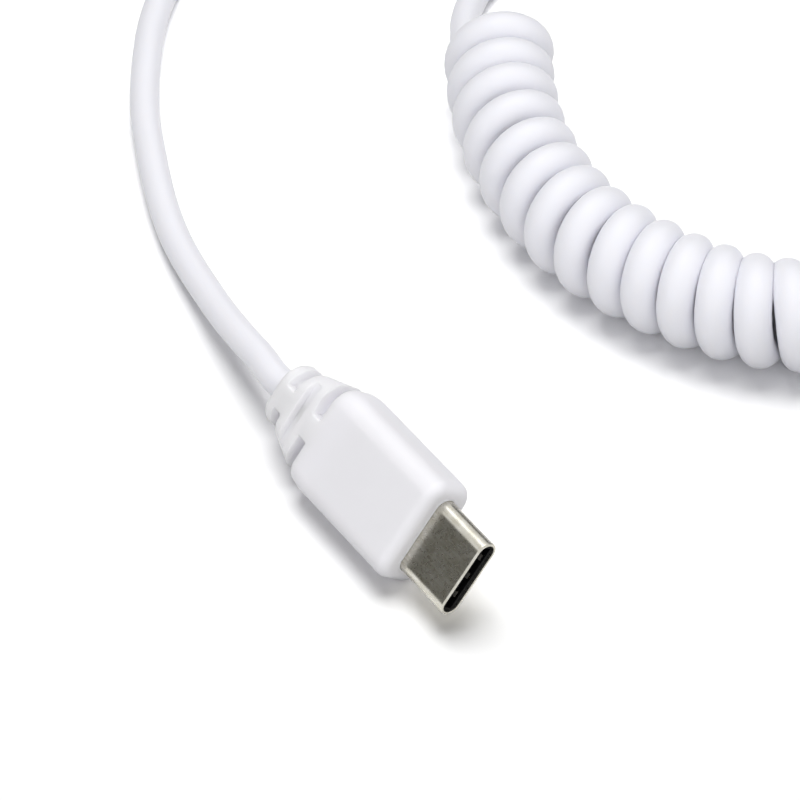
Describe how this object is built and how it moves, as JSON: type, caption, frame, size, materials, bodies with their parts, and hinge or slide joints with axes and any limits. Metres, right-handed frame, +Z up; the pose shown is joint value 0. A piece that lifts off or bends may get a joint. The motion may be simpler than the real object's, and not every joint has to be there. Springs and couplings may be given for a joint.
{
  "type": "coiled usb-c cable",
  "caption": "Coiled white cable with a moulded connector plug and strain relief on each end, lying on a table with its curl laid in an open bend.",
  "frame": {"origin": "on the floor, under the middle of the near plug, which lies rolled on one long edge", "axes": "+X towards the near plug's open nose, +Z up, +Y from the near plug towards the curl"},
  "size_m": [0.0987, 0.1029, 0.0114],
  "materials": {
    "cord_jacket": "satin",
    "plug_molding": "satin",
    "plug_shell": "satin",
    "insulator": "satin",
    "spring_steel": "satin",
    "contact_gold": "polished",
    "circuit_card": "satin",
    "inner_molding": "matte",
    "shield_tinplate": "satin",
    "wire_red": "satin",
    "wire_black": "satin",
    "wire_blue": "satin",
    "wire_green": "satin",
    "wire_white": "satin"
  },
  "bodies": {
    "root": {"near_overmold": "plug_molding", "near_shell": "plug_shell", "near_insulator": "insulator", "near_latch_spring": "spring_steel", "near_circuit_card": "circuit_card", "near_inner_mold": "inner_molding", "near_ground_spring_upper": "spring_steel", "near_shield_can_upper": "shield_tinplate", "near_ground_spring_lower": "spring_steel", "near_shield_can_lower": "shield_tinplate", "near_contact_a1": "contact_gold", "near_contact_a4": "contact_gold", "near_contact_a5": "contact_gold", "near_contact_a6": "contact_gold", "near_contact_a7": "contact_gold", "near_contact_a9": "contact_gold", "near_contact_a12": "contact_gold", "near_contact_b1": "contact_gold", "near_contact_b4": "contact_gold", "near_contact_b5": "contact_gold", "near_contact_b9": "contact_gold", "near_contact_b12": "contact_gold", "near_wire_vbus": "wire_red", "near_wire_gnd": "wire_black", "near_wire_cc": "wire_blue", "near_wire_d_plus": "wire_green", "near_wire_d_minus": "wire_white", "far_overmold": "plug_molding", "far_shell": "plug_shell", "far_insulator": "insulator", "far_latch_spring": "spring_steel", "far_circuit_card": "circuit_card", "far_inner_mold": "inner_molding", "far_ground_spring_upper": "spring_steel", "far_shield_can_upper": "shield_tinplate", "far_ground_spring_lower": "spring_steel", "far_shield_can_lower": "shield_tinplate", "far_contact_a1": "contact_gold", "far_contact_a4": "contact_gold", "far_contact_a5": "contact_gold", "far_contact_a6": "contact_gold", "far_contact_a7": "contact_gold", "far_contact_a9": "contact_gold", "far_contact_a12": "contact_gold", "far_contact_b1": "contact_gold", "far_contact_b4": "contact_gold", "far_contact_b5": "contact_gold", "far_contact_b9": "contact_gold", "far_contact_b12": "contact_gold", "far_wire_vbus": "wire_red", "far_wire_gnd": "wire_black", "far_wire_cc": "wire_blue", "far_wire_d_plus": "wire_green", "far_wire_d_minus": "wire_white", "near_lead": "cord_jacket", "curl": "cord_jacket", "far_lead": "cord_jacket"}
  },
  "joints": []
}
